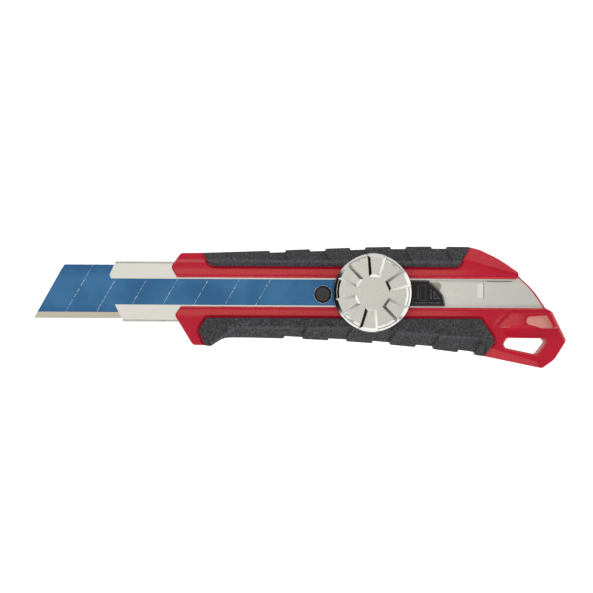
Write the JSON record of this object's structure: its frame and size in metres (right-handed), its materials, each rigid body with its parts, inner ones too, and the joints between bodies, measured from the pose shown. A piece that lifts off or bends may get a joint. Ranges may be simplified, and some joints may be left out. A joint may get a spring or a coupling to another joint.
{
  "type": "utility knife",
  "caption": "Snap-off blade utility knife: two-sided moulded handle with rubber grips, steel guide channel, sliding blade carriage and a screw-down lock wheel.",
  "frame": {"origin": "on the flat back face, under the lock wheel's axis", "axes": "X along the blade with the tip towards -X, +Y towards the blade's spine, +Z out of the front face"},
  "size_m": [0.1781, 0.0404, 0.0176],
  "materials": {
    "red_plastic": "satin moulded ABS",
    "grip_rubber": "fine textured elastomer",
    "stainless": "drawn stainless sheet",
    "blued_steel": "blued carbon steel",
    "black_plastic": "moulded acetal",
    "black_oxide": "black oxide steel",
    "spring_steel": "ground spring steel",
    "zinc_alloy": "satin nickel plated zinc casting",
    "brass": "turned brass",
    "plated_steel": "zinc plated"
  },
  "bodies": {
    "handle": {"body": "red_plastic", "back_cover": "red_plastic", "upper_grip": "grip_rubber", "lower_grip": "grip_rubber", "back_upper_grip": "grip_rubber", "back_lower_grip": "grip_rubber", "cover_screws": "plated_steel", "channel": "stainless", "channel_rivets": "plated_steel"},
    "carriage": {"blade": "blued_steel", "blade_holder": "plated_steel", "blade_pin": "black_oxide", "slider": "black_plastic", "slider_rivets": "plated_steel", "leaf_spring": "spring_steel", "spring_rivet": "plated_steel", "thrust_washer": "plated_steel", "spring_washer": "spring_steel"},
    "wheel": {"lock_wheel": "zinc_alloy", "wheel_nut": "brass"},
    "clamp": {"clamp_plate": "plated_steel", "clamp_stud": "plated_steel"}
  },
  "joints": [
    {"name": "blade_slide", "type": "slide", "parent": "handle", "child": "carriage", "axis": [-1, 0, 0], "range_m": [-0.03, 0.052]},
    {"name": "wheel_turn", "type": "hinge", "parent": "carriage", "child": "wheel", "pos_m": [0, 0, 0.0145], "axis": [0, 0, 1], "range_deg": [0, 270]},
    {"name": "clamp_travel", "type": "slide", "parent": "carriage", "child": "clamp", "axis": [0, 0, -1], "range_m": [0, 0.0006]}
  ],
  "couplings": [
    {"joint": "clamp_travel", "follows": "wheel_turn", "m_per_rad": 0.00012732}
  ]
}
